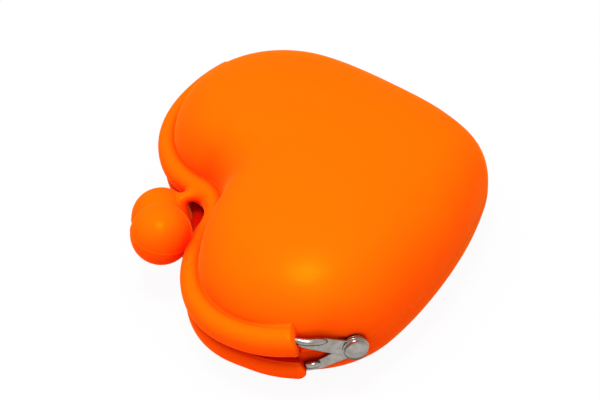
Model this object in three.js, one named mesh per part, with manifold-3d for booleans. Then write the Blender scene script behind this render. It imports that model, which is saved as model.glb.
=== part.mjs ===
// Heart-shaped silicone pouch with a kiss-lock frame, lying flat on its back panel.
// Sizes are in millimetres. X runs from the mouth to the tip, Y along the hinge axis and Z up.
// The origin is on the resting face, straight below the middle of the hinge axis.

import * as THREE from 'three';
import { LoftGeometry } from 'three/addons/geometries/LoftGeometry.js';
import { mergeVertices } from 'three/addons/utils/BufferGeometryUtils.js';
import Module from 'manifold-3d';

// Heart outline along the middle of the lips: tangent arcs, seen from above
const tipReach = 52.7;          // hinge axis to the tip
const lobeReach = 39.3;         // hinge axis to the ends of the lobes
const lobeRadius = 31.9;
const lobeSpread = 59.8;        // between the centres of the two lobe arcs
const tipRadius = 18;
const flankRadius = 138.6;
const cleftRadius = 15.8;

// Silicone body
const frontDepth = 27.5;        // hinge axis up to the crown of the front panel
const backDepth = 21.7;         // hinge axis down to the back panel, if nothing pressed on it
const settle = 1.4;             // how far the back panel is pressed flat where it rests
const wall = 2.2;
const panelInset = 0.8;         // panel surface inside the middle of the lips
const crownX = 4;               // crown of both panels, from the hinge axis towards the tip
const crownHarmonics = 3;       // how much of the heart is left in the outline near the crown
const frontPlumpness = 2.6;     // exponents of each panel's section, across and in height
const frontFlatness = 2.6;
const backPlumpness = 3.6;
const backFlatness = 2.27;
const cleftFade = 4.26;         // how fast the cleft fades towards the crown
const hingeRecess = 2.1;        // dent in each side wall that takes the ears of the frame
const hingeRecessSpan = 14;     // its spread along X and in height
const hingeRecessRise = 8;

// Mouth and lips
const mouthGap = 0.5;           // between the two lips
const lipRadius = 4;
const lipSetback = 15.9;        // hinge axis to the ends of the front lip
const backLipReach = 1.4;       // the back lip runs this much nearer to the hinge
const lipEndSlant = 22;         // slant of the lips' ends, in degrees
const openingAngle = 60;        // how far the front half swings, in degrees
const foldSpare = 2;            // extra angle of the fold, in degrees
const foldStart = 1.5;          // the fold begins this high above the hinge axis
const zoneGap = 0.3;            // between zones of the one silicone moulding

// Frame wires, with their flattened ears
const wireRadius = 1.5;
const wireClearance = 0.3;      // between a frame and the silicone around it
const wireProud = 1.5;          // a wire runs straight on this far past its lip
const earLength = 9.6;          // hinge axis to where an ear turns into round wire
const earRadius = 3.4;          // round the hinge, and where the ear starts
const earNeckRadius = 1.75;
const earThickness = 0.9;

// Hinge rivets
const rivetRadius = 1.3;
const rivetHeadRadius = 3.25;
const rivetHeadHeight = 1.1;
const rivetHeadEdge = 0.45;
const rivetTailRadius = 2.2;
const rivetTailHeight = 0.6;
const pivotPlay = 0.08;         // between a rivet and the holes of the ears, all round
const earGap = 0.15;            // between the ears, and between them and the rivet's ends

// Clasp: two balls on bent posts that pass each other at the cleft
const ballRadius = 8.85;
const ballClearance = 0.25;     // between a ball and the lip that it rests against
const ballSpacing = 15.9;       // between the balls along the hinge axis
const ballCrossing = 8.2;       // how far the front ball lies below the back ball
const claspShift = -1.35;       // middle of the clasp along the hinge axis
const coreRadius = 6;
const postRadius = 0.9;
const postSpacing = 13.5;       // between the feet of the posts along the hinge axis
const postLead = 11;            // a post runs level this far before it bends to its ball
const stemRadius = 2.3;
const seatGap = 0.3;            // between a post, its wire, its core and its silicone

// Facets
const tipSteps = 4;
const flankSteps = 8;
const lobeSteps = 12;
const cleftSteps = 4;
const backRings = 7;
const frontRings = 8;
const ringSpread = 1.6;         // above 1 the rings are closer together near the rim
const harmonicSamples = 360;
const crownShare = 0.96;        // the crown's last ring, as a share of the way up
const lipSides = 10;
const wireSides = 8;
const postSteps = 10;
const ballFacets = 20;
const coreFacets = 14;
const ballRowShare = 0.7;       // rows of a ball per facet round it
const rivetFacets = 20;

const rad = THREE.MathUtils.degToRad;
const hingeHeight = backDepth - settle;
const lipRise = lipRadius + mouthGap / 2;
const farAway = 4 * (tipReach + lobeReach);

// Solids

const wasm = await Module();
wasm.setup();

function solid(geometry) {
  const bare = new THREE.BufferGeometry().copy(geometry);
  bare.deleteAttribute('normal');
  bare.deleteAttribute('uv');
  const merged = mergeVertices(bare, 1e-4);
  const vertProperties = new Float32Array(merged.attributes.position.array);
  const triVerts = new Uint32Array(merged.index.array);
  return new wasm.Manifold(new wasm.Mesh({ numProp: 3, vertProperties, triVerts }));
}

function geometryOf(body) {
  const mesh = body.getMesh();
  const geometry = new THREE.BufferGeometry();
  geometry.setAttribute('position', new THREE.BufferAttribute(mesh.vertProperties, 3));
  geometry.setIndex(new THREE.BufferAttribute(mesh.triVerts, 1));
  geometry.computeVertexNormals();
  return geometry;
}

// A closed prism along Y over a polygon of [x, z] corners
function prism(corners) {
  const shape = new THREE.Shape(corners.map(([x, z]) => new THREE.Vector2(x, z)));
  const geometry = new THREE.ExtrudeGeometry(shape, { depth: 2 * farAway, bevelEnabled: false });
  geometry.rotateX(Math.PI / 2);
  geometry.translate(0, farAway, 0);
  return solid(geometry);
}

// A closed tube through a list of points, its rings carried along without twist
function tube(points, radius, sides) {
  const side = new THREE.Vector3();
  const ahead = new THREE.Vector3();
  const sections = points.map((point, i) => {
    const before = points[Math.max(i - 1, 0)];
    const after = points[Math.min(i + 1, points.length - 1)];
    ahead.subVectors(after, before).normalize();
    if (i === 0) side.crossVectors(new THREE.Vector3(0, 0, 1), ahead);
    side.addScaledVector(ahead, -side.dot(ahead)).normalize();
    const up = new THREE.Vector3().crossVectors(ahead, side);
    return Array.from({ length: sides }, (_, j) => {
      const turn = (2 * Math.PI * (j + 0.5)) / sides;
      return point.clone()
        .addScaledVector(side, radius * Math.cos(turn))
        .addScaledVector(up, radius * Math.sin(turn));
    });
  });
  return solid(new LoftGeometry(sections, { capStart: true, capEnd: true }));
}

// Heart outline

function arcPoints(circle, from, to, steps) {
  return Array.from({ length: steps + 1 }, (_, i) => {
    const turn = from + ((to - from) * i) / steps;
    const x = circle.x + circle.r * Math.cos(turn);
    return new THREE.Vector2(x, circle.y + circle.r * Math.sin(turn));
  });
}

function bearing(from, to) {
  return Math.atan2(to.y - from.y, to.x - from.x);
}

// The far half of the outline is four tangent arcs, from the tip round to the cleft
const tipArc = { x: tipReach - tipRadius, y: 0, r: tipRadius };
const lobeArc = { x: lobeRadius - lobeReach, y: lobeSpread / 2, r: lobeRadius };
const flankArc = tangentAround(tipArc, lobeArc, flankRadius);
const cleftX = lobeArc.x - Math.sqrt((lobeRadius + cleftRadius) ** 2 - lobeArc.y ** 2);
const cleftArc = { x: cleftX, y: 0, r: cleftRadius };
const tipEnd = bearing(flankArc, tipArc);
const flankEnd = bearing(flankArc, lobeArc);
const lobeEnd = bearing(lobeArc, cleftArc) + 2 * Math.PI;
const cleftStart = lobeEnd - Math.PI;

// The circle round two others that touches both
function tangentAround(one, two, radius) {
  const toOne = radius - one.r;
  const toTwo = radius - two.r;
  const apart = Math.hypot(two.x - one.x, two.y - one.y);
  const along = (toOne ** 2 - toTwo ** 2 + apart ** 2) / (2 * apart);
  const aside = Math.sqrt(toOne ** 2 - along ** 2);
  const ux = (two.x - one.x) / apart;
  const uy = (two.y - one.y) / apart;
  return { x: one.x + along * ux - aside * uy, y: one.y + along * uy + aside * ux, r: radius };
}

// Points of the far half, from the tip to the bottom of the cleft
const halfOutline = [
  ...arcPoints(tipArc, 0, tipEnd, tipSteps),
  ...arcPoints(flankArc, tipEnd, flankEnd, flankSteps).slice(1),
  ...arcPoints(lobeArc, flankEnd, lobeEnd, lobeSteps).slice(1),
  ...arcPoints(cleftArc, cleftStart, 0, cleftSteps).slice(1),
];

// Where a ray from the crown, at a turn between 0 and pi, meets the outline
function outlineReach(turn) {
  const ends = [tipSteps, tipSteps + flankSteps, tipSteps + flankSteps + lobeSteps];
  const crown = { x: crownX, y: 0 };
  const passed = ends.filter((end) => bearing(crown, halfOutline[end]) < turn).length;
  const arc = [tipArc, flankArc, lobeArc, cleftArc][passed];
  const along = (arc.x - crownX) * Math.cos(turn) + arc.y * Math.sin(turn);
  const square = along ** 2 - (arc.x - crownX) ** 2 - arc.y ** 2 + arc.r ** 2;
  const half = Math.sqrt(Math.max(square, 0));
  return arc === cleftArc ? along - half : along + half;
}

// Near the crown only the broad shape of the heart is left: the first harmonics of its reach
const harmonics = Array.from({ length: crownHarmonics + 1 }, (_, order) => {
  let sum = 0;
  for (let i = 0; i < harmonicSamples; i++) {
    const turn = (Math.PI * (i + 0.5)) / harmonicSamples;
    sum += outlineReach(turn) * Math.cos(order * turn);
  }
  return ((order ? 2 : 1) * sum) / harmonicSamples;
});

function crownReach(turn) {
  return harmonics.reduce((sum, weight, order) => sum + weight * Math.cos(order * turn), 0);
}

// Half width of the outline at a distance along X beside the hinge
function outlineSide(x) {
  const arc = x < halfOutline[tipSteps + flankSteps].x ? lobeArc : flankArc;
  return arc.y + Math.sqrt(arc.r ** 2 - (x - arc.x) ** 2);
}

// Silicone body: a plump heart shell, cut into the back half, the front half and the fold

// A dent with a flat middle and soft ends, 1 in the middle and 0 far away
function dent(distance, spread) {
  return Math.exp(-((distance / spread) ** 4));
}

// The spokes run once round the heart from the tip, over the far side first
const halfSpokes = halfOutline.map((point) => {
  const angle = Math.atan2(Math.max(point.y, 0), point.x - crownX);
  const recess = hingeRecess * dent(point.x, hingeRecessSpan);
  return { angle, rim: outlineReach(angle), crown: crownReach(angle), recess };
});
const mirrored = halfSpokes.slice(1, -1).reverse().map((spoke) => ({ ...spoke, angle: -spoke.angle }));
const spokes = [...halfSpokes, ...mirrored];

const frontPanel = { depth: frontDepth, plumpness: frontPlumpness, flatness: frontFlatness };
const backPanel = { depth: backDepth, plumpness: backPlumpness, flatness: backFlatness };

// One ring of a panel under a skin; rise goes from 0 at the rim to 1 at the crown
function panelRing(panel, rise, skin) {
  const share = Math.cos((Math.PI / 2) * rise) ** (2 / panel.plumpness);
  const height = (panel.depth - skin) * Math.sin((Math.PI / 2) * rise) ** (2 / panel.flatness);
  const fade = share ** cleftFade;
  const dentHere = dent(height, hingeRecessRise);
  const z = panel === frontPanel ? height : -height;
  return spokes.map(({ angle, rim, crown, recess }) => {
    const outer = (1 - fade) * crown + fade * rim - panelInset - skin;
    const reach = share * outer - dentHere * recess;
    return new THREE.Vector3(crownX + reach * Math.cos(angle), reach * Math.sin(angle), z);
  });
}

// The filled heart, made smaller all round by a skin thickness, with its foot flat
function heartSolid(skin) {
  const footShare = (hingeHeight - skin) / (backDepth - skin);
  const footRise = (2 / Math.PI) * Math.asin(footShare ** (backFlatness / 2));
  const rings = [];
  for (let i = backRings; i > 0; i--) {
    rings.push(panelRing(backPanel, footRise * (i / backRings) ** ringSpread, skin));
  }
  for (let i = 0; i <= frontRings; i++) {
    rings.push(panelRing(frontPanel, crownShare * (i / frontRings) ** ringSpread, skin));
  }
  return solid(new LoftGeometry(rings, { capStart: true, capEnd: true }));
}

const shell = heartSolid(0).subtract(heartSolid(wall));

// The fold is a wedge about the hinge axis, as wide as the mouth's opening
const foldHalf = rad((openingAngle + foldSpare) / 2);
const slit = mouthGap / 2;
const foldReach = farAway * Math.tan(foldHalf);
const frontZone = prism([
  [-slit * Math.tan(foldHalf), slit],
  [-foldReach, farAway],
  [-2 * farAway, farAway],
  [-2 * farAway, slit],
]);
const openZone = prism([
  [0, -slit],
  [0, 0],
  [foldReach, farAway],
  [-2 * farAway, farAway],
  [-2 * farAway, -slit],
]);
const foldApex = zoneGap / Math.sin(foldHalf);
const foldNarrow = (foldStart - foldApex) * Math.tan(foldHalf);
const foldWide = (farAway - foldApex) * Math.tan(foldHalf);
const foldZone = prism([
  [-foldNarrow, foldStart],
  [foldNarrow, foldStart],
  [foldWide, farAway],
  [-foldWide, farAway],
]);

// Frame wires: the outline of the mouth, then an arm on each side to a flattened, pierced ear

// Points along the mouth from the near side to the far side, at one height
function mouthPath(setback, height) {
  const start = Math.acos((-setback - lobeArc.x) / lobeArc.r);
  const half = [
    ...arcPoints(lobeArc, start, lobeEnd, lobeSteps),
    ...arcPoints(cleftArc, cleftStart, 0, cleftSteps).slice(1),
  ];
  const far = half.map(({ x, y }) => new THREE.Vector3(x, y, height));
  const near = half.slice(0, -1).map(({ x, y }) => new THREE.Vector3(x, -y, height));
  return [...near, ...far.reverse()];
}

const hingeSide = outlineSide(-rivetTailRadius) - panelInset - hingeRecess;
const rivetTailStart = hingeSide + seatGap;
const backEarMiddle = rivetTailStart + rivetTailHeight + earGap + earThickness / 2;
const frontEarMiddle = backEarMiddle + earThickness + earGap;
const rivetHeadStart = frontEarMiddle + earThickness / 2 + earGap;

// Each half's share of the frame: which way it lies, where its lip ends and where its ears are
const frontFrame = { side: 1, setback: lipSetback, earMiddle: frontEarMiddle };
const backFrame = { side: -1, setback: lipSetback - backLipReach, earMiddle: backEarMiddle };

// The direction of a frame's arms, from the hinge axis to where the wire leaves its lip
function armDirection({ side, setback }) {
  return new THREE.Vector3(wireProud - setback, 0, side * lipRise).normalize();
}

function wirePath(frame) {
  const arm = armDirection(frame);
  const armEnds = [earLength - wireRadius / 2, earLength + wireRadius / 2];
  const armPoints = (hand) => armEnds.map((along) => {
    return arm.clone().multiplyScalar(along).setY(hand * frame.earMiddle);
  });
  const mouth = mouthPath(frame.setback - wireProud, frame.side * lipRise);
  return [...armPoints(-1), ...mouth, ...armPoints(1).reverse()];
}

// The plate of an ear, round the hinge axis and narrowing towards the wire, with a margin all round
function earPlate(frame, hand, margin) {
  const arm = armDirection(frame).multiplyScalar(earLength);
  const lean = Math.atan2(arm.z, arm.x);
  const tangent = Math.acos((earRadius - earNeckRadius) / earLength);
  const shape = new THREE.Shape();
  shape.absarc(0, 0, earRadius + margin, lean + tangent, lean + 2 * Math.PI - tangent, false);
  shape.absarc(arm.x, arm.z, earNeckRadius + margin, lean - tangent, lean + tangent, false);
  const depth = earThickness + 2 * margin;
  const options = { depth, bevelEnabled: false, curveSegments: rivetFacets };
  const geometry = new THREE.ExtrudeGeometry(shape, options);
  geometry.rotateX(Math.PI / 2);
  geometry.translate(0, hand * frame.earMiddle + depth / 2, 0);
  return solid(geometry);
}

// A wire with its two ears, with a margin all round
function wireAndEars(frame, margin) {
  return tube(wirePath(frame), wireRadius + margin, wireSides)
    .add(earPlate(frame, -1, margin))
    .add(earPlate(frame, 1, margin));
}

const holeRadius = rivetRadius + pivotPlay;
const pivotHole = solid(new THREE.CylinderGeometry(holeRadius, holeRadius, farAway, rivetFacets));

// A lip is the silicone tube moulded on a panel's edge; its ends slant back from the mouth
function lip({ side, setback }, extra) {
  const slant = Math.tan(rad(lipEndSlant));
  const mouthX = lipRise * slant - setback;
  const pastEnds = prism([
    [mouthX, 0],
    [farAway, 0],
    [farAway, side * farAway],
    [mouthX - slant * farAway, side * farAway],
  ]);
  return tube(mouthPath(-mouthX, side * lipRise), lipRadius + extra, lipSides).subtract(pastEnds);
}

// Rivet: domed head outside, shank through both ears, spread tail inside
function hingeRivet(side) {
  const top = rivetHeadStart + rivetHeadHeight;
  const profile = [
    [0, rivetTailStart],
    [rivetTailRadius, rivetTailStart],
    [rivetTailRadius, rivetTailStart + rivetTailHeight],
    [rivetRadius, rivetTailStart + rivetTailHeight],
    [rivetRadius, rivetHeadStart],
    [rivetHeadRadius, rivetHeadStart],
    [rivetHeadRadius, top - rivetHeadEdge],
    [rivetHeadRadius - rivetHeadEdge, top],
    [0, top],
  ].map(([radius, along]) => new THREE.Vector2(radius, along));
  const geometry = new THREE.LatheGeometry(profile, rivetFacets);
  if (side < 0) geometry.rotateX(Math.PI);
  return solid(geometry);
}

// Clasp: side is 1 for the front frame, whose ball crosses below, and -1 for the back frame

// A ball lies at the end of its lobe, clear of the lip there
function ballCentre(side) {
  const y = claspShift + (side * ballSpacing) / 2;
  const apart = lobeArc.r + lipRadius + ballRadius + ballClearance;
  const x = lobeArc.x - Math.sqrt(apart ** 2 - (lobeArc.y - Math.abs(y)) ** 2);
  return new THREE.Vector3(x, y, (-side * ballCrossing) / 2);
}

// The post's bent line, from the middle of the wire to the middle of the ball
function postCurve(side) {
  const footY = claspShift + (side * postSpacing) / 2;
  const footX = cleftArc.x + Math.sqrt(cleftArc.r ** 2 - footY ** 2);
  const foot = new THREE.Vector3(footX, footY, side * lipRise);
  const centre = ballCentre(side);
  const bend = new THREE.Vector3(footX - postLead, (footY + centre.y) / 2, side * lipRise);
  return new THREE.QuadraticBezierCurve3(foot, bend, centre);
}

// A tube on the post's line, from the wire to a little past the ball's middle
function alongPost(side, radius, past) {
  const curve = postCurve(side);
  const points = curve.getSpacedPoints(postSteps);
  const end = curve.getTangent(1).multiplyScalar(past).add(points[postSteps]);
  return tube([...points.slice(0, -1), end], radius, wireSides);
}

function ball(side, radius, facets) {
  const geometry = new THREE.SphereGeometry(radius, facets, facets * ballRowShare);
  geometry.rotateX(Math.PI / 2);
  const { x, y, z } = ballCentre(side);
  geometry.translate(x, y, z);
  return solid(geometry);
}

function clasp(frame, channel) {
  const { side } = frame;
  const socket = alongPost(side, postRadius + seatGap, seatGap);
  const post = alongPost(side, postRadius, 0).subtract(channel);
  const core = ball(side, coreRadius, coreFacets).subtract(socket);
  const cover = ball(side, ballRadius, ballFacets)
    .add(alongPost(side, stemRadius, 0))
    .subtract(lip(frame, seatGap))
    .subtract(ball(side, coreRadius + seatGap, coreFacets))
    .subtract(socket);
  return { socket, post, core, cover };
}

const frontChannel = wireAndEars(frontFrame, wireClearance);
const backChannel = wireAndEars(backFrame, wireClearance);
const frontClasp = clasp(frontFrame, frontChannel);
const backClasp = clasp(backFrame, backChannel);

const pouchFront = shell.intersect(frontZone)
  .add(lip(frontFrame, 0))
  .subtract(frontChannel)
  .subtract(frontClasp.socket);
const pouchBack = shell.subtract(openZone)
  .add(lip(backFrame, 0))
  .subtract(backChannel)
  .subtract(backClasp.socket);
const pouchFold = shell.intersect(foldZone);

// Materials and the assembly

const silicone = new THREE.MeshStandardMaterial({ color: 0xff7408, roughness: 0.5, metalness: 0 });
const nickel = new THREE.MeshStandardMaterial({ color: 0xc4bfb6, roughness: 0.22, metalness: 1 });
const hardPlastic = new THREE.MeshStandardMaterial({ color: 0x8c8c88, roughness: 0.5, metalness: 0 });

const pouch = new THREE.Group();
pouch.position.z = hingeHeight;

function place(name, body, material) {
  const mesh = new THREE.Mesh(geometryOf(body), material);
  mesh.name = name;
  pouch.add(mesh);
}

place('pouch_back', pouchBack, silicone);
place('pouch_front', pouchFront, silicone);
place('pouch_fold', pouchFold, silicone);
place('back_frame_wire', wireAndEars(backFrame, 0).subtract(pivotHole), nickel);
place('front_frame_wire', wireAndEars(frontFrame, 0).subtract(pivotHole), nickel);
place('near_hinge_rivet', hingeRivet(-1), nickel);
place('far_hinge_rivet', hingeRivet(1), nickel);
place('back_clasp_post', backClasp.post, nickel);
place('front_clasp_post', frontClasp.post, nickel);
place('back_clasp_core', backClasp.core, hardPlastic);
place('front_clasp_core', frontClasp.core, hardPlastic);
place('back_ball_cover', backClasp.cover, silicone);
place('front_ball_cover', frontClasp.cover, silicone);

export default pouch;
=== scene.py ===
import math

import bmesh
import bpy
import numpy as np
from mathutils import Matrix, Vector


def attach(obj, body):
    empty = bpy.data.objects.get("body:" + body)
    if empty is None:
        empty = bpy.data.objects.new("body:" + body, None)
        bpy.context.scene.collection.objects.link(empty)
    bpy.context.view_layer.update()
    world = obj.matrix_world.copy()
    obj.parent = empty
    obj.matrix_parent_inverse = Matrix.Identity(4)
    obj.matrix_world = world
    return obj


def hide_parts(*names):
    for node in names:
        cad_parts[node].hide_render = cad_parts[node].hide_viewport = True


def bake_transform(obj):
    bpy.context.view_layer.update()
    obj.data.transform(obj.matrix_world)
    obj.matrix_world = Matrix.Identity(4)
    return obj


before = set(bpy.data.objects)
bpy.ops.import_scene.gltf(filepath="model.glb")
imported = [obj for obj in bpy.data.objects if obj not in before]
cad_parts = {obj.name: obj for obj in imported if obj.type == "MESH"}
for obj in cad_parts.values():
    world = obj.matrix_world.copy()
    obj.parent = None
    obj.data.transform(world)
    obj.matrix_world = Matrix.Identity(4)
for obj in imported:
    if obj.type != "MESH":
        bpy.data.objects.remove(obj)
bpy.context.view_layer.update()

# Back half of the silicone bag: the panel that lies on the table, with the tubular lip along its
# edge of the mouth. It is moulded in one with the front half, about 2 mm thick, in matt orange.
# It is drawn in mm about the middle of the hinge axis, as the other pieces are.
MM = 0.001
HINGE_HEIGHT = 20.3
WALL = 2.2

# The heart, and how far in and how smoothly the panels swell from it
TIP_REACH = 52.7
TIP_RADIUS = 18.0
FLANK_RADIUS = 138.6
LOBE_REACH = 39.3
LOBE_RADIUS = 31.9
LOBE_SPREAD = 59.8
CLEFT_RADIUS = 15.8
PANEL_INSET = 0.8
CROWN_X = 4.0
CROWN_ORDERS = 4
CLEFT_SOFTNESS = 4.26
RIM_SAMPLES = 2000
TURN_SAMPLES = 360

# The lips: their section, the plane where they press on each other, and their cut ends
LIP_RADIUS = 4.0
LIP_UPPER_EDGE = 2.0
LIP_LOWER_EDGE = 2.9
LIP_LEVEL_X = -17.0
LOBE_SWELL = (28, 40)
FLASH_ANGLE = math.radians(-56)
FLASH_WIDTH = 0.07
FLASH_PROUD = 0.16
PRESS_X = -30
PRESS_SLOPE = 0.134
PRESS_DROP = 1.55
PRESS_GAP = 0.05
LIP_END_SIZE = 0.9
LIP_END_ROUND = 0.7
SLANT_FADE = 9
SLANT_TOP = 18
SLANT_INSIDE_LEVEL = 0.4

# The groove between a lip and its panel
GROOVE_TOP = 5.2
GROOVE_FOOT = 3.5
GROOVE_PULL = 0.98
GROOVE_DIP = 0.2
GROOVE_END_DROP = 0.9
GROOVE_END_REACH = 5

# The dent beside the hinge, from where to where each of its slopes runs
DENT_FLOOR = 58.35
DENT_START = (0.5, 2.5)
DENT_END = (-21, -15)
DENT_BELOW_EDGE = 0.6
DENT_ABOVE_EDGE = 0.5
STRAP_SLOPE = (3.4, 6)
TAIL_DEPTH = 1.05
TAIL_SLOPE = (2.3, 3.3)
TAIL_POCKET = (3.2, 3.7)
HOLLOW_X = -6.5
HOLLOW_WIDTH = 6.5
HOLLOW_HEIGHT = (3.4, 13)

# Rows of the mesh, from the crown over the lip to the inside
OUTSIDE_ROWS = 20
GROOVE_ROWS = 7
INSIDE_ROWS = 14
OUTSIDE_CROWN = 0.985
INSIDE_CROWN = 0.97
FLANK_SPOKES = 100
MOUTH_SPOKES = 60
END_SPOKES = [-6.5, -5.0, -3.6, -2.4, -1.5, -0.9, -0.5, -0.2, 0, 0.03, 0.2, 0.45, 0.75, 1.3, 2.1, 3.2]
OUTSIDE_ANGLES = [math.radians(a) for a in (
    100, 92, 84, 74, 64, 54, 44, 34, 24, 14, 4, -6, -16, -25, -33, -40, -46, -51, -53, -55, -56, -57, -59,
    -61, -66, -72)]
MOUTH_ANGLES = [math.radians(a) for a in (-80, -90, -100, -110)]
INSIDE_ANGLES = [math.radians(a) for a in (-118, -126, -134, -144, -156, -168, -180)]

# What differs between the halves: lobe_out and cleft_fade are for the near and the far side
BACK_PANEL = {
    "side": -1, "depth": 21.7, "plumpness": 3.6, "flatness": 2.27, "flat_at": HINGE_HEIGHT,
    "lip_end": 13.6, "lip_rise": 6.7, "lip_slope": -0.05, "lip_out": -2.5, "lobe_out": (2.2, 1.4),
    "cleft_out": 7.4, "cleft_fade": ((6, 22), (5, 18.5)), "slant_over": 0.55, "slant_under": -0.5,
    "dent_edge": 4.2, "dent_slope": 0.36, "dent_limit": 7.4, "strap_lift": 0.0, "hollow": 0.0,
}


def outline_arcs():
    """Tangent arcs of the far half of the heart, from the tip over flank and lobe to the cleft."""
    tip = Vector((TIP_REACH - TIP_RADIUS, 0))
    lobe = Vector((LOBE_RADIUS - LOBE_REACH, LOBE_SPREAD / 2))
    to_tip = FLANK_RADIUS - TIP_RADIUS
    to_lobe = FLANK_RADIUS - LOBE_RADIUS
    apart = (lobe - tip).length
    along = (to_tip ** 2 - to_lobe ** 2 + apart ** 2) / (2 * apart)
    aside = math.sqrt(to_tip ** 2 - along ** 2)
    unit = (lobe - tip) / apart
    flank = tip + along * unit + aside * Vector((-unit.y, unit.x))
    cleft = Vector((lobe.x - math.sqrt((LOBE_RADIUS + CLEFT_RADIUS) ** 2 - lobe.y ** 2), 0))

    def bearing(start, end):
        return math.atan2(end.y - start.y, end.x - start.x)

    tip_end = bearing(flank, tip)
    flank_end = bearing(flank, lobe)
    lobe_end = bearing(lobe, cleft) + 2 * math.pi
    return [
        (tip, TIP_RADIUS, 0.0, tip_end),
        (flank, FLANK_RADIUS, tip_end, flank_end),
        (lobe, LOBE_RADIUS, flank_end, lobe_end),
        (cleft, CLEFT_RADIUS, lobe_end - math.pi, 0.0),
    ]


heart_arcs = outline_arcs()
arc_lengths = [radius * abs(end - start) for _, radius, start, end in heart_arcs]
half_length = sum(arc_lengths)


def rim(way):
    """Point of the heart outline and the direction out of it, a way round from the tip."""
    hand = -1 if way < 0 else 1
    left = min(abs(way), half_length)
    for (centre, radius, start, end), length in zip(heart_arcs, arc_lengths):
        if left <= length + 1e-6:
            break
        left -= length
    turn = start + (end - start) * min(left / length, 1)
    out = Vector((math.cos(turn), math.sin(turn)))
    point = centre + radius * out
    if end < start:
        out = -out
    return Vector((point.x, hand * point.y, 0)), Vector((out.x, hand * out.y, 0))


def lip_end_way(setback):
    """Way round from the tip to the place beside the hinge where a lip ends."""
    centre, radius, start, _ = heart_arcs[2]
    return arc_lengths[0] + arc_lengths[1] + radius * (math.acos((-setback - centre.x) / radius) - start)


# Near the crown only the broad shape of the heart is left
rim_points = [rim(half_length * i / RIM_SAMPLES)[0] for i in range(RIM_SAMPLES + 1)]
rim_turns = [math.atan2(max(point.y, 0), point.x - CROWN_X) for point in rim_points]
rim_reaches = [math.hypot(point.y, point.x - CROWN_X) for point in rim_points]
even_turns = (np.arange(TURN_SAMPLES) + 0.5) * math.pi / TURN_SAMPLES
even_reaches = np.interp(even_turns, rim_turns, rim_reaches)
crown_waves = [
    float((1 if order == 0 else 2) * np.mean(even_reaches * np.cos(order * even_turns)))
    for order in range(CROWN_ORDERS)
]


def smooth_step(value, low, high):
    share = min(max((value - low) / (high - low), 0.0), 1.0)
    return share * share * (3 - 2 * share)


def hinge_dent(panel, point, skin):
    """Presses a wall point in under the ears and the rivet's tail, softly hollowed above them."""
    back_of_hinge = max(-point.x, 0)
    from_pin = math.hypot(point.x, point.z)
    edge = min(panel["dent_edge"] + panel["dent_slope"] * back_of_hinge, panel["dent_limit"])
    along = smooth_step(point.x, *DENT_END) * smooth_step(back_of_hinge, *DENT_START)
    deep = along * (1 - smooth_step(point.z, edge - DENT_BELOW_EDGE, edge + DENT_ABOVE_EDGE))
    deep = max(deep, 1 - smooth_step(from_pin, *TAIL_POCKET))
    floor = DENT_FLOOR + TAIL_DEPTH * smooth_step(from_pin, *TAIL_SLOPE) - skin
    floor += panel["strap_lift"] * smooth_step(back_of_hinge, *STRAP_SLOPE)
    hollow = panel["hollow"] * (1 - smooth_step(point.z, *HOLLOW_HEIGHT))
    side = abs(point.y) - hollow * math.exp(-((point.x - HOLLOW_X) / HOLLOW_WIDTH) ** 2)
    side -= max(side - floor, 0) * deep
    return Vector((point.x, math.copysign(side, point.y), point.z))


def panel_point(panel, way, height, skin):
    """Point of a panel at a height over the hinge axis, under a skin thickness."""
    level = min(height / (panel["depth"] - skin), 1.0)
    share = (1 - level ** panel["flatness"]) ** (1 / panel["plumpness"])
    point, _ = rim(way)
    turn = math.atan2(abs(point.y), point.x - CROWN_X)
    broad = sum(wave * math.cos(order * turn) for order, wave in enumerate(crown_waves))
    fade = share ** CLEFT_SOFTNESS
    reach = (1 - fade) * broad + fade * math.hypot(point.y, point.x - CROWN_X)
    reach = share * (reach - PANEL_INSET - skin)
    flat = panel["flat_at"] - skin
    z = height if height < flat - 1 else flat - 1 + math.tanh(height - flat + 1)
    side = math.copysign(reach * math.sin(turn), way)
    return hinge_dent(panel, Vector((CROWN_X + reach * math.cos(turn), side, z)), skin)


def lip_rise(panel, x):
    """Height of a lip's middle over the hinge axis: the lips close towards the lobes."""
    return panel["lip_rise"] + panel["lip_slope"] * (min(x, LIP_LEVEL_X) - LIP_LEVEL_X)


def lip_middle(panel, way):
    """Middle of a lip's section and the direction out of it: it sags out at the lobes and the cleft."""
    point, away = rim(way)
    hand = 1 if way > 0 else 0
    shift = panel["lip_out"] + panel["lobe_out"][hand] * smooth_step(-point.x, *LOBE_SWELL)
    shift += panel["cleft_out"] * (1 - smooth_step(half_length - abs(way), *panel["cleft_fade"][hand]))
    return point + away * shift + Vector((0, 0, lip_rise(panel, point.x))), away


def lip_point(panel, way, angle, size):
    """Point round a lip's section: round on top, squarer at the mouth, flat where lips press."""
    power = 2 / (LIP_UPPER_EDGE if math.sin(angle) >= 0 else LIP_LOWER_EDGE)
    radius = LIP_RADIUS * size + FLASH_PROUD * math.exp(-((angle - FLASH_ANGLE) / FLASH_WIDTH) ** 2)
    out = radius * math.copysign(abs(math.cos(angle)) ** power, math.cos(angle))
    up = radius * math.copysign(abs(math.sin(angle)) ** power, math.sin(angle))
    middle, away = lip_middle(panel, way)
    pressed = panel["side"] * (PRESS_SLOPE * (middle.x - PRESS_X) - PRESS_DROP) + PRESS_GAP
    up = max(up, -LIP_RADIUS, pressed - middle.z)
    return middle + out * away + Vector((0, 0, up))


def rise_height(panel, rise, skin):
    """Height of a row of the mesh, from its share of the way up the panel."""
    return (panel["depth"] - skin) * math.sin(math.pi / 2 * rise) ** (2 / panel["flatness"])


def height_rise(panel, height, skin):
    return 2 / math.pi * math.asin((height / (panel["depth"] - skin)) ** (panel["flatness"] / 2))


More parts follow.
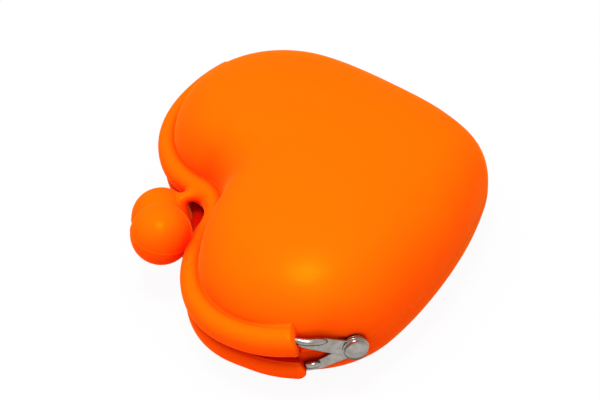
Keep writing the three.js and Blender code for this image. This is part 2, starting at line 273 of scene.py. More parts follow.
def half_section(panel, way, lip_end):
    """One spoke of a half: down the panel's outside, round the lip or the bare edge, up the inside."""
    past = abs(way) - lip_end
    near_end = math.exp(-(past / SLANT_FADE) ** 2)
    rise = lip_rise(panel, rim(way)[0].x)
    top = rise + LIP_RADIUS
    groove_top = rise + GROOVE_TOP - GROOVE_END_DROP * (1 - smooth_step(past, 0, GROOVE_END_REACH))
    groove_foot = rise + GROOVE_FOOT
    outer_rise = height_rise(panel, groove_top, 0)
    inner_rise = height_rise(panel, groove_foot, WALL)

    def sheared(height, level=rise):
        lean = (min(height, top) - level) * panel["slant_under" if height < level else "slant_over"]
        lean *= 1 - smooth_step(height, top, SLANT_TOP)
        return math.copysign(min(abs(way) + near_end * lean, half_length), way)

    def bare(height, skin):
        return panel_point(panel, sheared(height), height, skin)

    def on_lip(height, angle):
        size = LIP_END_SIZE + (1 - LIP_END_SIZE) * math.sqrt(min(past / LIP_END_ROUND, 1))
        return lip_point(panel, sheared(height), angle, size)

    places = []
    for i in range(OUTSIDE_ROWS):
        row = OUTSIDE_CROWN + (outer_rise - OUTSIDE_CROWN) * i / OUTSIDE_ROWS
        places.append(bare(rise_height(panel, row, 0), 0))
    if past > 0:
        over = on_lip(top, OUTSIDE_ANGLES[0])
        _, away = rim(sheared(top))
        pulled = over - GROOVE_PULL * away - Vector((0, 0, GROOVE_DIP))
        for i in range(GROOVE_ROWS):
            t = i / GROOVE_ROWS
            place = (1 - t) ** 3 * bare(groove_top, 0) + 3 * t * (1 - t) ** 2 * bare(groove_foot, 0)
            places.append(place + (3 * t * t * (1 - t) * pulled + t ** 3 * over))
        for angle in OUTSIDE_ANGLES:
            places.append(on_lip(rise + LIP_RADIUS * math.sin(angle), angle))
        for angle in MOUTH_ANGLES:
            places.append(on_lip(rise - LIP_RADIUS, angle))
        for angle in INSIDE_ANGLES:
            places.append(on_lip(rise + LIP_RADIUS * math.sin(angle), angle))
    else:
        for i in range(GROOVE_ROWS):
            places.append(bare(groove_top + (top - groove_top) * (i / GROOVE_ROWS), 0))
        for i in range(len(OUTSIDE_ANGLES)):
            places.append(bare(top * (1 - i / (len(OUTSIDE_ANGLES) - 1)), 0))
        for i in range(len(MOUTH_ANGLES)):
            places.append(bare(0, 0).lerp(bare(0, WALL), (i + 1) / (len(MOUTH_ANGLES) + 1)))
        for i in range(len(INSIDE_ANGLES)):
            places.append(bare(rise * i / len(INSIDE_ANGLES), WALL))
    for i in range(INSIDE_ROWS):
        row = inner_rise + (INSIDE_CROWN - inner_rise) * i / (INSIDE_ROWS - 1)
        height = rise_height(panel, row, WALL)
        places.append(panel_point(panel, sheared(height, SLANT_INSIDE_LEVEL), height, WALL))
    return places


def start_ring(bm, places):
    """A closed loop of vertices, one at each place."""
    loop = bmesh.ops.create_circle(bm, cap_ends=False, segments=len(places), radius=1)["verts"]
    for vert, place in zip(loop, places):
        vert.co = place
    return loop


def draw_ring(bm, loop, places):
    """Extrudes a closed loop of vertices into its next ring, with a place for each vertex."""
    edges = [bm.edges.get((vert, loop[i - 1])) for i, vert in enumerate(loop)]
    grown = set(bmesh.ops.extrude_edge_only(bm, edges=edges)["geom"])
    following = []
    for vert, place in zip(loop, places):
        new = next(edge.other_vert(vert) for edge in vert.link_edges if edge.other_vert(vert) in grown)
        new.co = place
        following.append(new)
    return following


def bag_spokes(lip_end):
    """Ways round the heart of the spokes, close together where a lip ends."""
    flank = np.linspace(0, lip_end + END_SPOKES[0], FLANK_SPOKES)
    mouth = np.linspace(lip_end + END_SPOKES[-1], half_length, MOUTH_SPOKES)
    half = [*flank, *(lip_end + step for step in END_SPOKES[1:-1]), *mouth]
    return half + [-way for way in half[-2:0:-1]]


def bag_half(panel):
    """A half of the bag, drawn ring by ring from its crown round the lip to the inside."""
    lip_end = lip_end_way(panel["lip_end"])
    sections = [half_section(panel, way, lip_end) for way in bag_spokes(lip_end)]
    rings = list(zip(*sections))
    bm = bmesh.new()
    outer = start_ring(bm, rings[0])
    inner = outer
    for places in rings[1:]:
        inner = draw_ring(bm, inner, places)
    for loop in (outer, inner):
        middle = sum((vert.co for vert in loop), Vector()) / len(loop)
        middle.z = loop[0].co.z
        crown = draw_ring(bm, loop, [middle] * len(loop))
        bmesh.ops.pointmerge(bm, verts=crown, merge_co=middle)
    bmesh.ops.scale(bm, verts=bm.verts, vec=(1, 1, panel["side"]))
    return bm


def settle_piece(name, bm, material):
    """Takes a mesh drawn in mm about the hinge axis to its place in metres."""
    bmesh.ops.recalc_face_normals(bm, faces=bm.faces)
    bmesh.ops.translate(bm, verts=bm.verts, vec=(0, 0, HINGE_HEIGHT))
    bmesh.ops.scale(bm, verts=bm.verts, vec=(MM, MM, MM))
    for face in bm.faces:
        face.smooth = True
    mesh = bpy.data.meshes.new(name)
    bm.to_mesh(mesh)
    bm.free()
    piece = bpy.data.objects.new(name, mesh)
    bpy.context.scene.collection.objects.link(piece)
    piece.data.materials.append(material)
    return piece


def new_material(name):
    material = bpy.data.materials.new(name)
    material.use_nodes = True
    nodes = material.node_tree.nodes
    return material, nodes, material.node_tree.links, nodes["Principled BSDF"]


def noise_on_object(nodes, links, scale, detail, roughness):
    place = nodes.new("ShaderNodeTexCoord")
    noise = nodes.new("ShaderNodeTexNoise")
    noise.inputs["Scale"].default_value = scale
    noise.inputs["Detail"].default_value = detail
    noise.inputs["Roughness"].default_value = roughness
    links.new(place.outputs["Object"], noise.inputs["Vector"])
    return noise.outputs["Fac"]


def map_range(nodes, links, value, low, high, to_low, to_high):
    ranged = nodes.new("ShaderNodeMapRange")
    links.new(value, ranged.inputs["Value"])
    ranged.inputs["From Min"].default_value = low
    ranged.inputs["From Max"].default_value = high
    ranged.inputs["To Min"].default_value = to_low
    ranged.inputs["To Max"].default_value = to_high
    return ranged.outputs["Result"]


def math_node(nodes, links, operation, first, second):
    node = nodes.new("ShaderNodeMath")
    node.operation = operation
    links.new(first, node.inputs[0])
    links.new(second, node.inputs[1])
    return node.outputs["Value"]


def colour_ramp(nodes, links, value, stops):
    """Colours along a value, from the first stop to the last, with any others in between."""
    ramp = nodes.new("ShaderNodeValToRGB")
    links.new(value, ramp.inputs["Fac"])
    ends = ramp.color_ramp.elements
    for end, (position, colour) in zip(ends, (stops[0], stops[-1])):
        end.position = position
        end.color = (*colour, 1)
    for position, colour in stops[1:-1]:
        ends.new(position).color = (*colour, 1)
    return ramp.outputs["Color"]


def mixed_colour(nodes, links, share, plain, over):
    """A plain colour under another one, which a share between 0 and 1 lets through."""
    mix = nodes.new("ShaderNodeMix")
    mix.data_type = "RGBA"
    mix.inputs["A"].default_value = (*plain, 1)
    links.new(share, mix.inputs["Factor"])
    links.new(over, mix.inputs["B"])
    return mix.outputs["Result"]


def facing_up(nodes, links):
    """How far the surface faces up, from -1 to 1, and its normal."""
    facing = nodes.new("ShaderNodeNewGeometry")
    split = nodes.new("ShaderNodeSeparateXYZ")
    links.new(facing.outputs["Normal"], split.inputs["Vector"])
    return split.outputs["Z"], facing.outputs["Normal"]


def bump(nodes, links, height, distance, strength, below=None):
    node = nodes.new("ShaderNodeBump")
    node.inputs["Distance"].default_value = distance
    node.inputs["Strength"].default_value = strength
    links.new(height, node.inputs["Height"])
    if below is not None:
        links.new(below, node.inputs["Normal"])
    return node.outputs["Normal"]


def matt_silicone(name, reach, clear, painted_shade_red):
    """Dyed silicone rubber: orange, with painted shade that turns it redder where it looks down or lies
    deep, and a powdery skin.
    """
    material, nodes, links, shader = new_material(name)
    upness, normal = facing_up(nodes, links)
    mottle = noise_on_object(nodes, links, 120, 4, 0.6)
    mottle_lift = map_range(nodes, links, mottle, 0.3, 0.7, -0.05, 0.05)
    lifted = math_node(nodes, links, "ADD", upness, mottle_lift)
    turned = map_range(nodes, links, lifted, -1.0, 1.0, 0.0, 1.0)
    # Painted shade: the orange turns redder as the surface faces sideways and down, standing in for light
    # that falls from above
    orange_shaded_by_facing = colour_ramp(nodes, links, turned, [
        (0.25, (0.98, 0.040, 0.001)),
        (0.55, (0.98, 0.073, 0.001)),
        (0.95, (0.98, 0.137, 0.001)),
    ])

    # Painted shade: creases that little sky reaches are painted deep red, as if in shade
    upward = nodes.new("ShaderNodeVectorMath")
    upward.operation = "ADD"
    upward.inputs[1].default_value = (0, 0, 0.5)
    links.new(normal, upward.inputs[0])
    skyward = nodes.new("ShaderNodeVectorMath")
    skyward.operation = "NORMALIZE"
    links.new(upward.outputs["Vector"], skyward.inputs[0])
    crease = nodes.new("ShaderNodeAmbientOcclusion")
    crease.inputs["Distance"].default_value = reach
    links.new(skyward.outputs["Vector"], crease.inputs["Normal"])
    open_share = map_range(nodes, links, crease.outputs["AO"], clear - 0.5, clear, 0.0, 1.0)
    shaded_orange = mixed_colour(nodes, links, open_share, (painted_shade_red, 0.006, 0.001), orange_shaded_by_facing)
    links.new(shaded_orange, shader.inputs["Base Color"])

    powder = noise_on_object(nodes, links, 900, 3, 0.55)
    links.new(map_range(nodes, links, powder, 0.3, 0.7, 0.31, 0.39), shader.inputs["Roughness"])
    grain = noise_on_object(nodes, links, 2600, 2, 0.5)
    soft = noise_on_object(nodes, links, 60, 2, 0.5)
    wavy = bump(nodes, links, soft, 0.0004, 0.25)
    links.new(bump(nodes, links, grain, 0.00004, 0.35, wavy), shader.inputs["Normal"])
    shader.inputs["Metallic"].default_value = 0.13
    shader.inputs["Specular IOR Level"].default_value = 0.0
    shader.inputs["Specular Tint"].default_value = (1.0, 0.42, 0.02, 1)
    shader.inputs["Sheen Weight"].default_value = 0.36
    shader.inputs["Sheen Roughness"].default_value = 0.35
    shader.inputs["Sheen Tint"].default_value = (1.0, 0.48, 0.05, 1)
    return material


# Painted shade on the back half: a dark red reaching 14 mm into its creases, under the front lip
shaded_silicone = matt_silicone("silicone_under_lip", reach=0.014, clear=0.97, painted_shade_red=0.62)
back_half = settle_piece("silicone_back_half", bag_half(BACK_PANEL), shaded_silicone)
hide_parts("pouch_back")
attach(back_half, "back_half")

# Front half of the silicone bag: the plump upper panel with its lip. Behind the hinge it runs on into the
# back half.
FRONT_PANEL = {
    "side": 1, "depth": 27.5, "plumpness": 2.6, "flatness": 2.6, "flat_at": 40.0,
    "lip_end": 15.95, "lip_rise": 5.4, "lip_slope": 0.21, "lip_out": 0, "lobe_out": (0.8, 0.5),
    "cleft_out": 0.7, "cleft_fade": ((6, 22), (6, 22)), "slant_over": 0.37, "slant_under": 0.18,
    "dent_edge": 1.8, "dent_slope": 0.38, "dent_limit": 5.0, "strap_lift": 0.95, "hollow": 1.1,
}

# Painted shade on the front half and the clasp balls: a brighter red, reaching 7.5 mm into creases
silicone = matt_silicone("silicone_open", reach=0.0075, clear=0.84, painted_shade_red=0.95)
front_half = settle_piece("silicone_front_half", bag_half(FRONT_PANEL), silicone)
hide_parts("pouch_front", "pouch_fold")
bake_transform(front_half)

# Frame wires: 2.2 mm nickel-plated steel wire run through each lip. Its ends are welded along pressed
# ears, flat plates that are pierced for the hinge rivets. The front ears lie outside the back ears.
WIRE_RADIUS = 1.1
WIRE_SIDES = 20
WIRE_RINGS = 60
WIRE_SETBACK = 1.2
WIRE_PROUD = 0.9
EAR_THICKNESS = 0.9
EAR_EDGE = 0.2
EAR_STEPS = 96
EAR_CORNER_TURN = 1.2
EAR_SHARP_TURN = 0.3
HOLE_RADIUS = 1.38

# An edge of an ear is given by the way it faces and its distance from the pin, and a section of the
# wire on it by its place back of the pin and over it, half thickness and half width
BACK_EAR = {
    "y": 59.97,
    "radius": 3.4,
    "edges": [(115.0, 0.83), (-71.1, 3.9), (-90.0, 7.4), (206.0, 16.5), (0, 0.5)],
    "wire": [
        (9.6, -4.6, 0.3, 0.4), (10.1, -4.65, 0.7, 0.8), (10.6, -4.65, 1.05, 1.05),
        (11.7, -4.65, WIRE_RADIUS, WIRE_RADIUS), (12.8, -4.7, WIRE_RADIUS, WIRE_RADIUS),
    ],
}
FRONT_EAR = {
    "y": 61.02,
    "radius": 3.75,
    "edges": [(69.2, 1.93), (88.0, 5.35), (244.0, 3.75), (163.0, 16.6), (0, 0.5)],
    "wire": [
        (7.8, 4.5, 0.3, 0.4), (8.5, 4.7, 0.6, 0.75), (9.3, 4.9, 0.95, 1.0),
        (10.1, 5.0, WIRE_RADIUS, WIRE_RADIUS), (11.4, 5.15, WIRE_RADIUS, WIRE_RADIUS),
        (13.2, 5.4, WIRE_RADIUS, WIRE_RADIUS),
    ],
}


def bright_nickel():
    """Nickel plate with a soft shine, fine scratches and a faint warm tarnish, with painted shade in its
    corners and a painted dark reflection on faces that look down.
    """
    material, nodes, links, shader = new_material("bright_nickel")
    tarnish = noise_on_object(nodes, links, 420, 4, 0.6)
    plate = colour_ramp(nodes, links, tarnish, [(0.35, (0.30, 0.27, 0.235)), (0.7, (0.42, 0.40, 0.37))])
    # Painted shade: near brown-black in corners hidden by nearby surfaces, and a painted dark reflection
    # on faces that look down
    corner = nodes.new("ShaderNodeAmbientOcclusion")
    corner.inputs["Distance"].default_value = 0.0025
    in_the_open = map_range(nodes, links, corner.outputs["AO"], 0.2, 0.65, 0.0, 1.0)
    upness, _ = facing_up(nodes, links)
    not_under = map_range(nodes, links, upness, -0.13, -0.03, 0.0, 1.0)
    unshaded = math_node(nodes, links, "MULTIPLY", in_the_open, not_under)
    painted_shade_plate = mixed_colour(nodes, links, unshaded, (0.045, 0.032, 0.018), plate)
    links.new(painted_shade_plate, shader.inputs["Base Color"])
    links.new(map_range(nodes, links, tarnish, 0.3, 0.7, 0.14, 0.22), shader.inputs["Roughness"])
    scratch = noise_on_object(nodes, links, 3200, 3, 0.6)
    links.new(bump(nodes, links, scratch, 0.00002, 0.12), shader.inputs["Normal"])
    shader.inputs["Metallic"].default_value = 1.0
    return material


def wire_path(panel, ear):
    """Sections of a wire from the near ear through its lip to the far ear: place, half sizes."""
    leave = lip_end_way(panel["lip_end"] + WIRE_SETBACK)

    def welded(hand):
        y = hand * (ear["y"] + WIRE_PROUD)
        return [(Vector((-x, y, z)), thick, wide) for x, z, thick, wide in ear["wire"]]

    def in_lip(way):
        middle, _ = lip_middle(panel, way)
        middle.z *= panel["side"]
        return middle, WIRE_RADIUS, WIRE_RADIUS

    ways = np.linspace(leave, half_length, WIRE_RINGS)
    near = [in_lip(-way) for way in ways]
    far = [in_lip(way) for way in ways[-2::-1]]
    return welded(-1) + near + far + welded(1)[::-1]


def draw_wire(bm, sections):
    """Draws a round wire from section to section and closes its ends."""
    loop = None
    for i, (place, thick, wide) in enumerate(sections):
        ahead = sections[min(i + 1, len(sections) - 1)][0] - sections[max(i - 1, 0)][0]
        across = ahead.cross(Vector((0, 0, 1))).normalized()
        upward = across.cross(ahead).normalized()
        places = []
        for j in range(WIRE_SIDES):
            turn = 2 * math.pi * j / WIRE_SIDES
            places.append(place + thick * math.cos(turn) * across + wide * math.sin(turn) * upward)
        loop = start_ring(bm, places) if loop is None else draw_ring(bm, loop, places)
    bmesh.ops.holes_fill(bm, edges=[edge for edge in bm.edges if edge.is_boundary], sides=WIRE_SIDES)


def draw_ear(bm, ear, hand):
    """A flat ear: its outline and its hole bridged, drawn out to its thickness, edges softened."""
    sides = [(math.radians(facing), reach) for facing, reach in ear["edges"]]

    def edge(turn):
        strap = min(reach / max(math.cos(turn - facing), 1e-3) for facing, reach in sides)
        return max(ear["radius"], strap)

    plate = bmesh.new()
    for reach in (edge, lambda turn: HOLE_RADIUS):
        places = []
        for i in range(EAR_STEPS):
            turn = 2 * math.pi * i / EAR_STEPS
            x, z = reach(turn) * math.cos(turn), reach(turn) * math.sin(turn)
            places.append((x, hand * ear["y"] - EAR_THICKNESS / 2, z))
        start_ring(plate, places)
    bmesh.ops.bridge_loops(plate, edges=plate.edges[:])
    drawn = bmesh.ops.extrude_face_region(plate, geom=plate.faces[:])["geom"]
    bmesh.ops.translate(plate, verts=[part for part in drawn if isinstance(part, bmesh.types.BMVert)],
                        vec=(0, EAR_THICKNESS, 0))
    bmesh.ops.recalc_face_normals(plate, faces=plate.faces)
    corners = [
        side for side in plate.edges
        if len(side.link_faces) == 2 and side.calc_face_angle() > EAR_CORNER_TURN
    ]
    bmesh.ops.bevel(plate, geom=corners, offset=EAR_EDGE, offset_type="OFFSET", affect="EDGES",
                    segments=2, profile=0.5, material=-1)
    for crease in plate.edges:
        crease.smooth = crease.calc_face_angle(0) < EAR_SHARP_TURN
    kept = bpy.data.meshes.new("ear")
    plate.to_mesh(kept)
    plate.free()
    bm.from_mesh(kept)
    bpy.data.meshes.remove(kept)


nickel = bright_nickel()
for half, panel, ear in (("back", BACK_PANEL, BACK_EAR), ("front", FRONT_PANEL, FRONT_EAR)):
    bm = bmesh.new()
    draw_wire(bm, wire_path(panel, ear))
    for hand in (-1, 1):
        draw_ear(bm, ear, hand)
    wire = settle_piece(f"{half}_wire_with_ears", bm, nickel)
    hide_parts(f"{half}_frame_wire")
    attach(wire, f"{half}_half")

# Hinge rivets: turned nickel-plated pins through both ears at each side of the pouch, with a broad
# flat head outside and a small spread tail against the bag.
RIVET_TAIL_Y = 58.77
RIVET_HEAD_Y = 61.52
RIVET_STEPS = 64
RIVET_SHARP_TURN = 0.5
RIVET_PROFILE = [
    (0, RIVET_TAIL_Y), (2.0, RIVET_TAIL_Y), (2.2, RIVET_TAIL_Y + 0.2), (2.2, RIVET_TAIL_Y + 0.6),
    (1.3, RIVET_TAIL_Y + 0.6), (1.3, RIVET_HEAD_Y), (3.5, RIVET_HEAD_Y), (3.6, RIVET_HEAD_Y + 0.06),
    (3.62, RIVET_HEAD_Y + 0.2), (3.55, RIVET_HEAD_Y + 0.3), (3.3, RIVET_HEAD_Y + 0.36),
    (3.25, RIVET_HEAD_Y + 0.45), (3.25, RIVET_HEAD_Y + 1.2), (3.2, RIVET_HEAD_Y + 1.36),
    (3.06, RIVET_HEAD_Y + 1.47), (2.86, RIVET_HEAD_Y + 1.52), (1.8, RIVET_HEAD_Y + 1.54),
    (0, RIVET_HEAD_Y + 1.55),
]


def spin_profile(bm, places, axis, steps):
    """Turns a profile of places once round an axis through the origin."""
    line = [bm.verts.new(place) for place in places]
    edges = [bm.edges.new(pair) for pair in zip(line, line[1:])]
    bmesh.ops.spin(bm, geom=line + edges, cent=(0, 0, 0), axis=axis, angle=2 * math.pi,
                   steps=steps, use_merge=True)
    bmesh.ops.remove_doubles(bm, verts=bm.verts, dist=1e-4)


for name, hand in (("near", -1), ("far", 1)):
    bm = bmesh.new()
    profile = [(0, hand * along, radius) for radius, along in RIVET_PROFILE]
    spin_profile(bm, profile, (0, 1, 0), RIVET_STEPS)
    for crease in bm.edges:
        crease.smooth = crease.calc_face_angle(0) < RIVET_SHARP_TURN
    rivet = settle_piece(f"{name}_rivet", bm, nickel)
    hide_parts(f"{name}_hinge_rivet")
    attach(rivet, "back_half")

# Clasp balls: hard cores on bent posts, covered with the same silicone. Each cover is moulded round
# its ball and down its post to the lip, with a fine parting line left round the middle of the ball.
BALL_RADIUS = 9.0
BALL_FROM_LOBE = 45.0
BALL_SPACING = 15.9
BALL_CROSSING = 8.2
BALL_STEPS = 96
BALL_ROW = 4.5
BACK_BALL_TILT = 14.0
BACK_BALL_SAG = (0.3, 0, -0.35)
PARTING_PROUD = 0.13
PARTING_WIDTH = 0.016
PARTING_ROWS = [-2.4, -1.6, -1.0, -0.5]
CLASP_SHIFT = -1.35
POST_SPACING = 16.5
POST_LEAD = 11.0
POST_RISE = 4.25
POST_RADIUS = 0.9
POST_STEPS = 80
PIN_STEP = 4
LIP_SPAN = 40
LIP_POINTS = 60
STEM_RADIUS = 1.8
STEM_SIDES = 36
STEM_IN_BALL = 7.8
STEM_IN_LIP = 1.7
STEM_SUNK = 0.06
STEM_END_SUNK = 0.3
FILLET_WIDTH = 1.9
FEELER_STEP = 0.08
FEELERS = np.arange(0.8, 4.9, FEELER_STEP)


def lip_by_clasp(panel):
    """Points along the middle of a lip, on both sides of the cleft."""
    line = []
    for i in range(LIP_POINTS):
        for hand in (-1, 1):
            middle, _ = lip_middle(panel, hand * (half_length - LIP_SPAN * i / LIP_POINTS))
            line.append(Vector((middle.x, middle.y, panel["side"] * middle.z)))
    return line


def ball_place(side, sag):
    """Middle of a ball, which lies beside the other half's ball and crosses to that half's side."""
    lobe = heart_arcs[2][0]
    y = CLASP_SHIFT + side * BALL_SPACING / 2
    x = lobe.x - math.sqrt(BALL_FROM_LOBE ** 2 - (lobe.y - abs(y)) ** 2)
    return Vector((x, y, -side * BALL_CROSSING / 2)) + Vector(sag)


def post_places(side, lip_line, ball):
    """Points of a post, bent from the middle of its lip out and over to its ball."""
    cleft = heart_arcs[3][0]
    foot_y = CLASP_SHIFT + side * POST_SPACING / 2
    foot = min(lip_line, key=lambda place: abs(place.y - foot_y))
    cleft_edge = cleft.x + math.sqrt(CLEFT_RADIUS ** 2 - foot_y ** 2)
    bend = Vector((cleft_edge - POST_LEAD, (foot_y + ball.y) / 2, side * POST_RISE))
    places = []
    for i in range(POST_STEPS + 1):
        t = i / POST_STEPS
        places.append((1 - t) ** 2 * foot + 2 * t * (1 - t) * bend + t * t * ball)
    return places


def draw_ball(bm, ball, tilt):
    """A ball with its parting line, spun about its axis, tipped and moved to its place."""
    lower = [-90 + i * BALL_ROW for i in range(round(90 / BALL_ROW))] + PARTING_ROWS
    profile = []
    for angle in map(math.radians, lower + [0] + [-angle for angle in reversed(lower)]):
        radius = BALL_RADIUS + PARTING_PROUD * math.exp(-(angle / PARTING_WIDTH) ** 2)
        profile.append((radius * math.cos(angle), 0, radius * math.sin(angle)))
    spin_profile(bm, profile, (0, 0, 1), BALL_STEPS)
    tip = Matrix.Rotation(math.radians(tilt), 3, "Y")
    bmesh.ops.rotate(bm, verts=bm.verts, cent=(0, 0, 0), matrix=tip)
    bmesh.ops.translate(bm, verts=bm.verts, vec=ball)


def joined(first, second):
    """Smooth union of two depths, with a soft fillet where the forms meet."""
    near = np.maximum(FILLET_WIDTH - np.abs(first - second), 0) / FILLET_WIDTH
    return np.minimum(first, second) - near * near * FILLET_WIDTH / 4


def depth_round(places, line, radius):
    """How far places lie outside a rod of some radius along a line of points."""
    apart = np.linalg.norm(places[:, :, None, :] - line[None, None, :, :], axis=3)
    return apart.min(axis=2) - radius


def draw_stem(bm, post, ball, lip_line):
    """The stem runs into the ball and the lip on soft fillets: each ring is felt out from the post."""
    post_line, lip_points, ball_point = np.array(post), np.array(lip_line), np.array([ball])
    turns = np.arange(STEM_SIDES) * 2 * math.pi / STEM_SIDES
    rings = [
        i for i, place in enumerate(post)
        if (place - ball).length > STEM_IN_BALL and (place - post[0]).length > STEM_IN_LIP
    ]
    loop = None
    for i in rings:
        ahead = (post[i + 1] - post[i - 1]).normalized()
        across = ahead.cross(Vector((0, 0, 1))).normalized()
        upward = across.cross(ahead)
        spokes = np.cos(turns)[:, None] * np.array(across) + np.sin(turns)[:, None] * np.array(upward)
        felt = np.array(post[i]) + FEELERS[None, :, None] * spokes[:, None, :]
        skin = depth_round(felt, post_line, STEM_RADIUS)
        skin = joined(skin, depth_round(felt, ball_point, BALL_RADIUS))
        skin = joined(skin, depth_round(felt, lip_points, LIP_RADIUS))
        outside = skin > 0
        before = np.clip(outside.argmax(axis=1) - 1, 0, None)
        low, high = skin[range(STEM_SIDES), before], skin[range(STEM_SIDES), before + 1]
        crossing = FEELERS[before] + FEELER_STEP * -low / (high - low)
        reach = np.where(outside.any(axis=1), crossing, FEELERS[-1])
        sunk = STEM_END_SUNK if i in (rings[0], rings[-1]) else STEM_SUNK
        places = [Vector(place) for place in np.array(post[i]) + (reach - sunk)[:, None] * spokes]
        loop = start_ring(bm, places) if loop is None else draw_ring(bm, loop, places)
    bmesh.ops.holes_fill(bm, edges=[edge for edge in bm.edges if edge.is_boundary], sides=STEM_SIDES)


for half, panel, tilt, sag in (
    ("front", FRONT_PANEL, 0.0, (0, 0, 0)),
    ("back", BACK_PANEL, BACK_BALL_TILT, BACK_BALL_SAG),
):
    lip_line = lip_by_clasp(panel)
    ball = ball_place(panel["side"], sag)
    post = post_places(panel["side"], lip_line, ball)
    bm = bmesh.new()
    draw_ball(bm, ball, tilt)
    draw_stem(bm, post, ball, lip_line)
    cover = settle_piece(f"{half}_clasp_ball", bm, silicone)
    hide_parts(f"{half}_ball_cover")
    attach(cover, f"{half}_half")

    bm = bmesh.new()
    draw_wire(bm, [(place, POST_RADIUS, POST_RADIUS) for place in post[::PIN_STEP]])
    pin = settle_piece(f"{half}_post", bm, nickel)
    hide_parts(f"{half}_clasp_post")
    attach(pin, f"{half}_half")

# Cores of the clasp balls: hard balls of grey plastic, moulded on the ends of the posts before the
# silicone goes round them. The covers hide them, so they stay the plain solids of the part.
core_plastic, nodes, links, shader = new_material("core_plastic")
flow = noise_on_object(nodes, links, 300, 3, 0.5)
grey = colour_ramp(nodes, links, flow, [(0.0, (0.22, 0.22, 0.21)), (1.0, (0.30, 0.30, 0.28))])
links.new(grey, shader.inputs["Base Color"])
links.new(map_range(nodes, links, flow, 0.3, 0.7, 0.45, 0.6), shader.inputs["Roughness"])
for half in ("front", "back"):
    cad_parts[f"{half}_clasp_core"].material_slots[0].material = core_plastic

# Table: a plain matt white board that runs out of sight on all sides. The pouch lies on it on its
# back panel, fixed to nothing.
TABLE_SIZE = 6
TABLE_DROP = 0.0002
TABLE_WHITE_SHARE = 0.94

bm = bmesh.new()
bmesh.ops.create_grid(bm, x_segments=1, y_segments=1, size=TABLE_SIZE)
bmesh.ops.translate(bm, verts=bm.verts, vec=(0, 0, -TABLE_DROP))
mesh = bpy.data.meshes.new("table")
bm.to_mesh(mesh)
bm.free()
table = bpy.data.objects.new("table", mesh)
bpy.context.scene.collection.objects.link(table)
white_board, nodes, links, shader = new_material("white_board")
shader.inputs["Roughness"].default_value = 0.9
shader.inputs["Base Color"].default_value = (0.76, 0.76, 0.76, 1)
shader.inputs["Specular IOR Level"].default_value = 0.0


def seen_directly(nodes, links, share):
    """How much of a surface's own white is seen by the eye and in shiny or clear things."""
    path = nodes.new("ShaderNodeLightPath")
    total = path.outputs["Is Camera Ray"]
    for ray in ("Is Glossy Ray", "Is Transmission Ray"):
        total = math_node(nodes, links, "MAXIMUM", total, path.outputs[ray])
    return map_range(nodes, links, total, 0, 1, 0, share)


def mixed_shader(nodes, links, share, under, over, output):
    """Shows a share of one surface over another, at the named output."""
    mix = nodes.new("ShaderNodeMixShader")
    links.new(share, mix.inputs["Fac"])
    links.new(under, mix.inputs[1])
    links.new(over, mix.inputs[2])
    links.new(mix.outputs["Shader"], nodes[output].inputs["Surface"])


glow = nodes.new("ShaderNodeEmission")
glow.inputs["Strength"].default_value = 1.0
own_white = seen_directly(nodes, links, TABLE_WHITE_SHARE)
lit, unlit = shader.outputs["BSDF"], glow.outputs["Emission"]
mixed_shader(nodes, links, own_white, lit, unlit, "Material Output")
mesh.materials.append(white_board)

# Light: a white cloth tent all round, brighter overhead and with a white card at each side. A broad
# soft lamp hangs overhead, and a weak strip of light stands in front.
LAMP_AIM = Vector((0, 0, 0.03))

world = bpy.data.worlds.new("tent")
bpy.context.scene.world = world
world.use_nodes = True
nodes, links = world.node_tree.nodes, world.node_tree.links
tent = nodes["Background"]
tent.inputs["Color"].default_value = (1, 1, 1, 1)
direction = nodes.new("ShaderNodeTexCoord")
split = nodes.new("ShaderNodeSeparateXYZ")
links.new(direction.outputs["Generated"], split.inputs["Vector"])
across_tent = map_range(nodes, links, split.outputs["X"], -1, 1, 0, 1)
side_cards = colour_ramp(nodes, links, across_tent, [
    (0.04, (1.2, 1.2, 1.2)),
    (0.3, (0, 0, 0)),
    (0.62, (0, 0, 0)),
    (0.96, (0.5, 0.5, 0.5)),
])
cloth = map_range(nodes, links, split.outputs["Z"], 0.25, 0.95, 0.09, 1.17)
links.new(math_node(nodes, links, "ADD", cloth, side_cards), tent.inputs["Strength"])
white = nodes.new("ShaderNodeBackground")
white.inputs["Strength"].default_value = 1.0
own_white = seen_directly(nodes, links, 1.0)
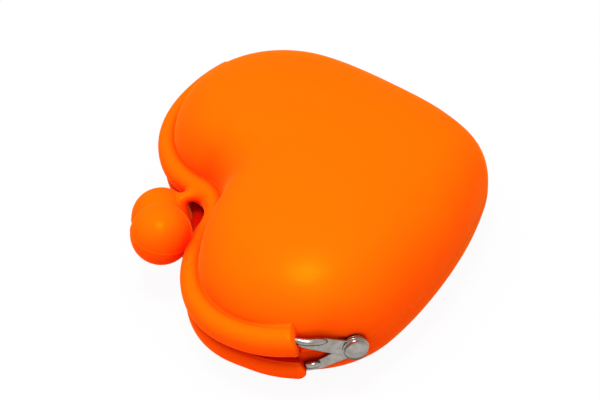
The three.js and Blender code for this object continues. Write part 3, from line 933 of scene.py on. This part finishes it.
lit, unlit = tent.outputs["Background"], white.outputs["Background"]
mixed_shader(nodes, links, own_white, lit, unlit, "World Output")

for name, size, energy, spot in (
    ("overhead", (0.2, 0.2), 2.4, Vector((-0.07, -0.195, 0.68))),
    ("front_card", (0.2, 0.05), 0.25, Vector((-0.07, -0.42, 0.45))),
):
    lamp_data = bpy.data.lights.new(name, "AREA")
    lamp_data.shape = "ELLIPSE"
    lamp_data.size, lamp_data.size_y = size
    lamp_data.energy = energy
    lamp = bpy.data.objects.new(name, lamp_data)
    bpy.context.scene.collection.objects.link(lamp)
    turn = (spot - LAMP_AIM).to_track_quat("Z", "Y").to_matrix().to_4x4()
    lamp.matrix_world = Matrix.Translation(spot) @ turn

# Camera: above the near side of the hinge, turned a little towards the mouth. It stands half a metre
# off with a long lens, and the picture is framed a little to one side.
CAMERA_AZIMUTH = math.radians(-9.01)
CAMERA_ELEVATION = math.radians(41.57)
CAMERA_ROLL = math.radians(-1.73)
CAMERA_DISTANCE = 0.532
CAMERA_AIM = Vector((2.12, 0, HINGE_HEIGHT)) * MM

level_part = math.cos(CAMERA_ELEVATION)
back = Vector((math.sin(CAMERA_AZIMUTH) * level_part, -math.cos(CAMERA_AZIMUTH) * level_part,
               math.sin(CAMERA_ELEVATION)))
right = Vector((math.cos(CAMERA_AZIMUTH), math.sin(CAMERA_AZIMUTH), 0))
upward = back.cross(right)
tilted_right = math.cos(CAMERA_ROLL) * right + math.sin(CAMERA_ROLL) * upward
tilted_up = math.cos(CAMERA_ROLL) * upward - math.sin(CAMERA_ROLL) * right
camera_data = bpy.data.cameras.new("camera")
camera_data.sensor_width = 36
camera_data.lens = 107.28
camera_data.shift_x = -0.039
camera = bpy.data.objects.new("camera", camera_data)
bpy.context.scene.collection.objects.link(camera)
turn = Matrix((tilted_right, tilted_up, back)).transposed().to_4x4()
camera.matrix_world = Matrix.Translation(CAMERA_AIM + CAMERA_DISTANCE * back) @ turn
bpy.context.scene.camera = camera
bpy.context.scene.view_settings.view_transform = "Standard"
